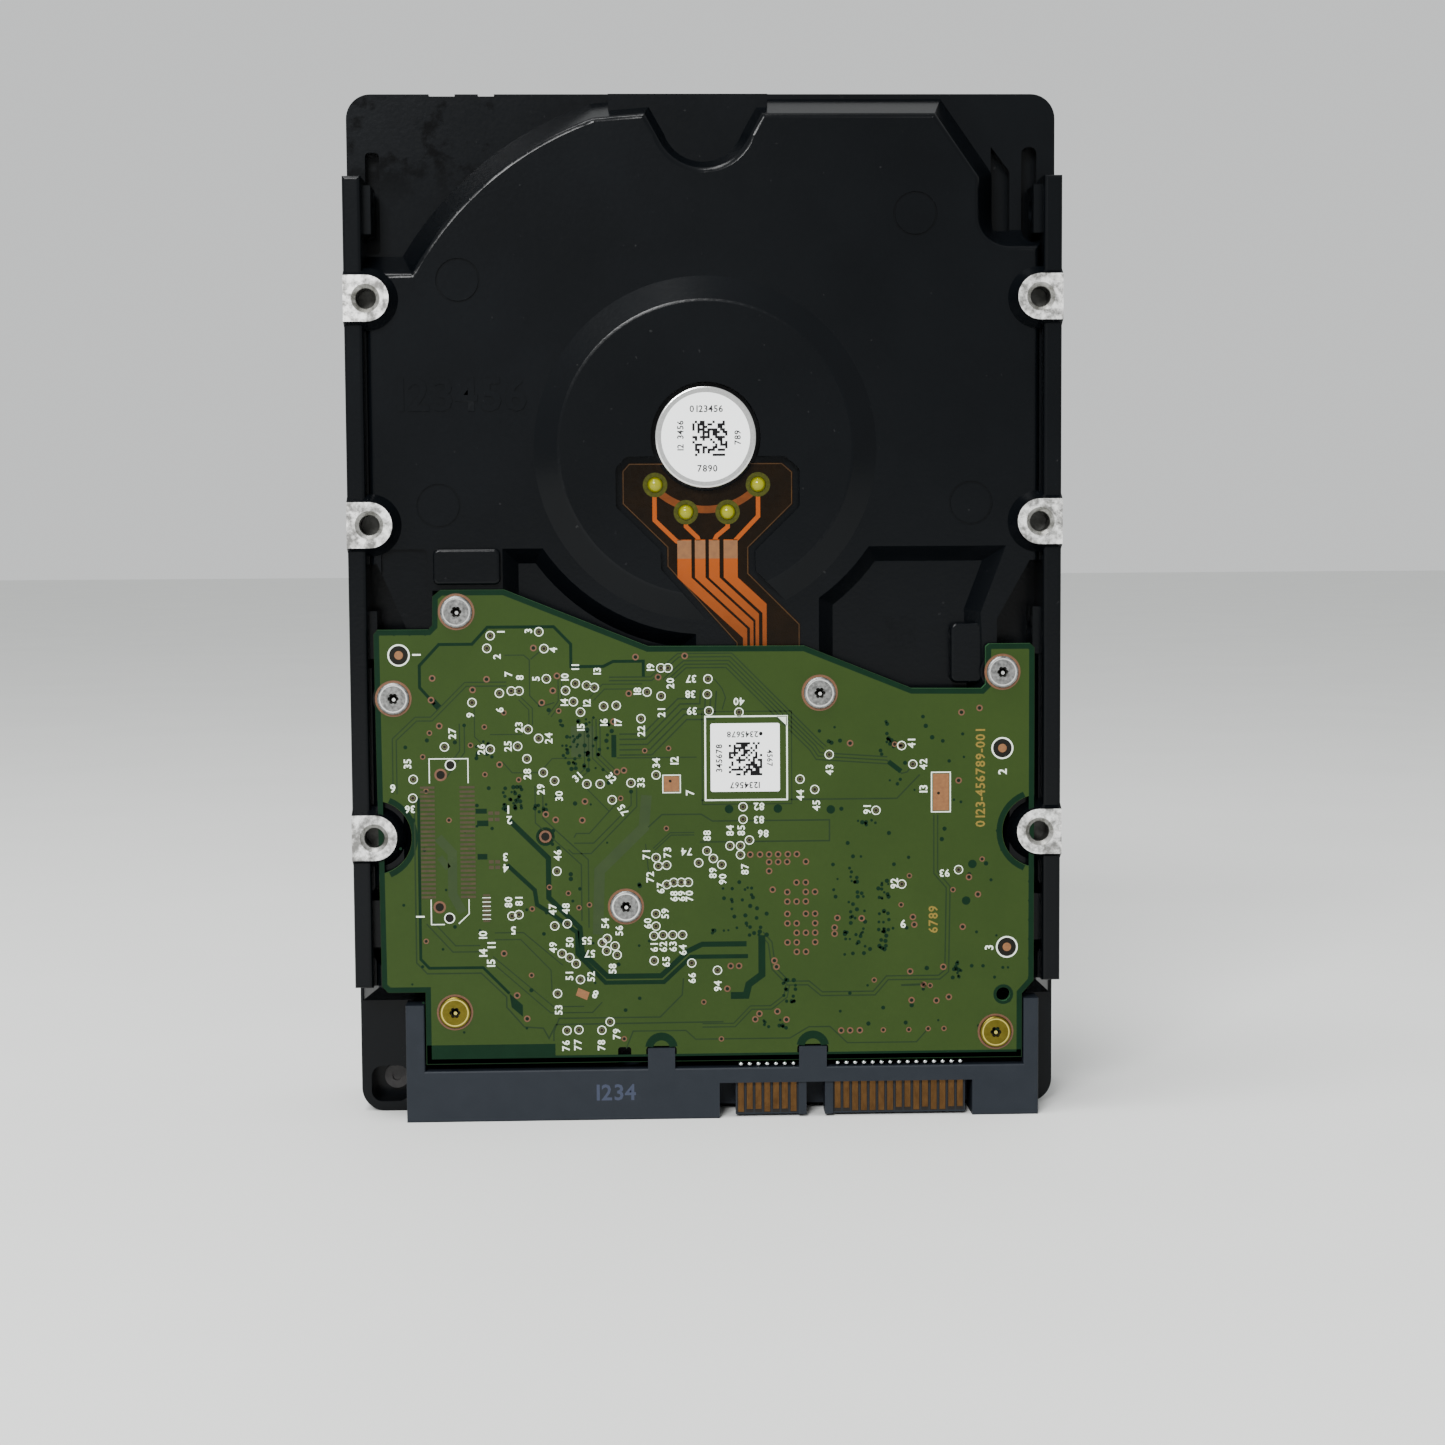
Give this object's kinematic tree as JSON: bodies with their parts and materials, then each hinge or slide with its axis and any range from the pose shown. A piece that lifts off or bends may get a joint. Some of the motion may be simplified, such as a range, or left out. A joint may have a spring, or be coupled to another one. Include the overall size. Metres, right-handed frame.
{
  "type": "hard disk drive",
  "caption": "Sealed 3.5-inch hard disk drive standing on its connector end, with its board, disks, head arm, voice coil and covers as separate pieces.",
  "frame": {"origin": "centre of the bounding box's base: the connector end, midway across the width and the thickness", "axes": "+Z along the length, away from the connector end; +X to the right seen from the circuit-board side; -Y out of the circuit-board (mounting) face, +Y out of the cover"},
  "size_m": [0.1016, 0.0262, 0.147],
  "materials": {
    "bearing_bronze": "sintered bronze",
    "black_coated_casting": "satin black electro-coat over die-cast aluminium, machined bare at the lugs",
    "black_rubber": "matt",
    "board_laminate": "green solder mask over copper",
    "bright_steel": "ground steel",
    "ceramic_tan": "tan ceramic",
    "chip_epoxy": "black moulded epoxy",
    "connector_black": "black moulded plastic",
    "connector_plastic": "dark blue-grey moulded nylon",
    "copper_wire": "enamelled copper winding",
    "domed_sealant": "clear yellow-green resin dome over solder",
    "filter_felt": "white non-woven felt",
    "flex_film": "dark amber polyimide film over copper",
    "gold_contact": "thin gold plate",
    "insulator_film": "black film",
    "label_paper": "matt film label",
    "lamination_steel": "stacked laminations",
    "latch_plastic": "natural moulded plastic",
    "machined_aluminium": "fine turned",
    "magnet_nickel": "nickel plated",
    "platter_mirror": "polished disk",
    "ramp_plastic": "natural moulded plastic",
    "satin_aluminium": "satin sheet",
    "screw_steel": "bright nickel plate",
    "slider_ceramic": "dark ceramic",
    "solder": "bright tin solder",
    "spring_steel": "thin stainless",
    "yellow_zinc": "yellow zinc plate"
  },
  "bodies": {
    "base": {"base_casting": "black_coated_casting", "outer_cover": "satin_aluminium", "cover_label": "label_paper", "inner_cover": "satin_aluminium", "cover_gasket": "black_rubber", "cover_screws": "screw_steel", "corner_screw": "screw_steel", "circuit_board": "board_laminate", "board_label": "label_paper", "board_screws": "screw_steel", "connector_screws": "yellow_zinc", "connector_housing": "connector_plastic", "connector_contacts": "gold_contact", "connector_tails": "solder", "board_insulator": "insulator_film", "controller_chip": "chip_epoxy", "memory_chip": "chip_epoxy", "motor_driver_chip": "chip_epoxy", "small_components": "ceramic_tan", "feedthrough_connector": "connector_black", "motor_flex": "flex_film", "motor_solder_joints": "domed_sealant", "motor_end_cap": "bright_steel", "motor_label": "label_paper", "stator_core": "lamination_steel", "stator_coils": "copper_wire", "spindle_shaft": "bright_steel", "pivot_shaft": "bright_steel", "magnet_yokes": "magnet_nickel", "voice_coil_magnets": "magnet_nickel", "yoke_posts": "bright_steel", "crash_stops": "black_rubber", "latch_pin": "bright_steel", "load_ramp": "ramp_plastic", "flex_bracket": "connector_black", "arm_flex": "flex_film", "recirculation_filter": "filter_felt", "desiccant_pack": "filter_felt"},
    "spindle": {"bearing_sleeve": "bearing_bronze", "spindle_hub": "machined_aluminium", "rotor_back_iron": "lamination_steel", "rotor_magnet": "magnet_nickel", "platter_spacers": "machined_aluminium", "disk_clamp": "machined_aluminium", "clamp_screws": "screw_steel", "platter_1": "platter_mirror", "platter_2": "platter_mirror", "platter_3": "platter_mirror", "platter_4": "platter_mirror", "platter_5": "platter_mirror", "platter_6": "platter_mirror", "platter_7": "platter_mirror", "platter_8": "platter_mirror"},
    "actuator": {"actuator_arms": "machined_aluminium", "pivot_sleeve": "bright_steel", "voice_coil": "copper_wire", "head_suspensions": "spring_steel", "head_sliders": "slider_ceramic"},
    "latch": {"latch_lever": "latch_plastic"}
  },
  "joints": [
    {"name": "spindle_spin", "type": "hinge", "parent": "base", "child": "spindle", "pos_m": [0, 0, 0.0979], "axis": [0, 1, 0], "continuous": true},
    {"name": "arm_swing", "type": "hinge", "parent": "base", "child": "actuator", "pos_m": [0.018, 0, 0.04329], "axis": [0, 1, 0], "range_deg": [0, 37.2], "deforming": ["arm_flex"]},
    {"name": "latch_swing", "type": "hinge", "parent": "base", "child": "latch", "pos_m": [0.04562, 0, 0.02988], "axis": [0, 1, 0], "range_deg": [0, 6.5]}
  ]
}
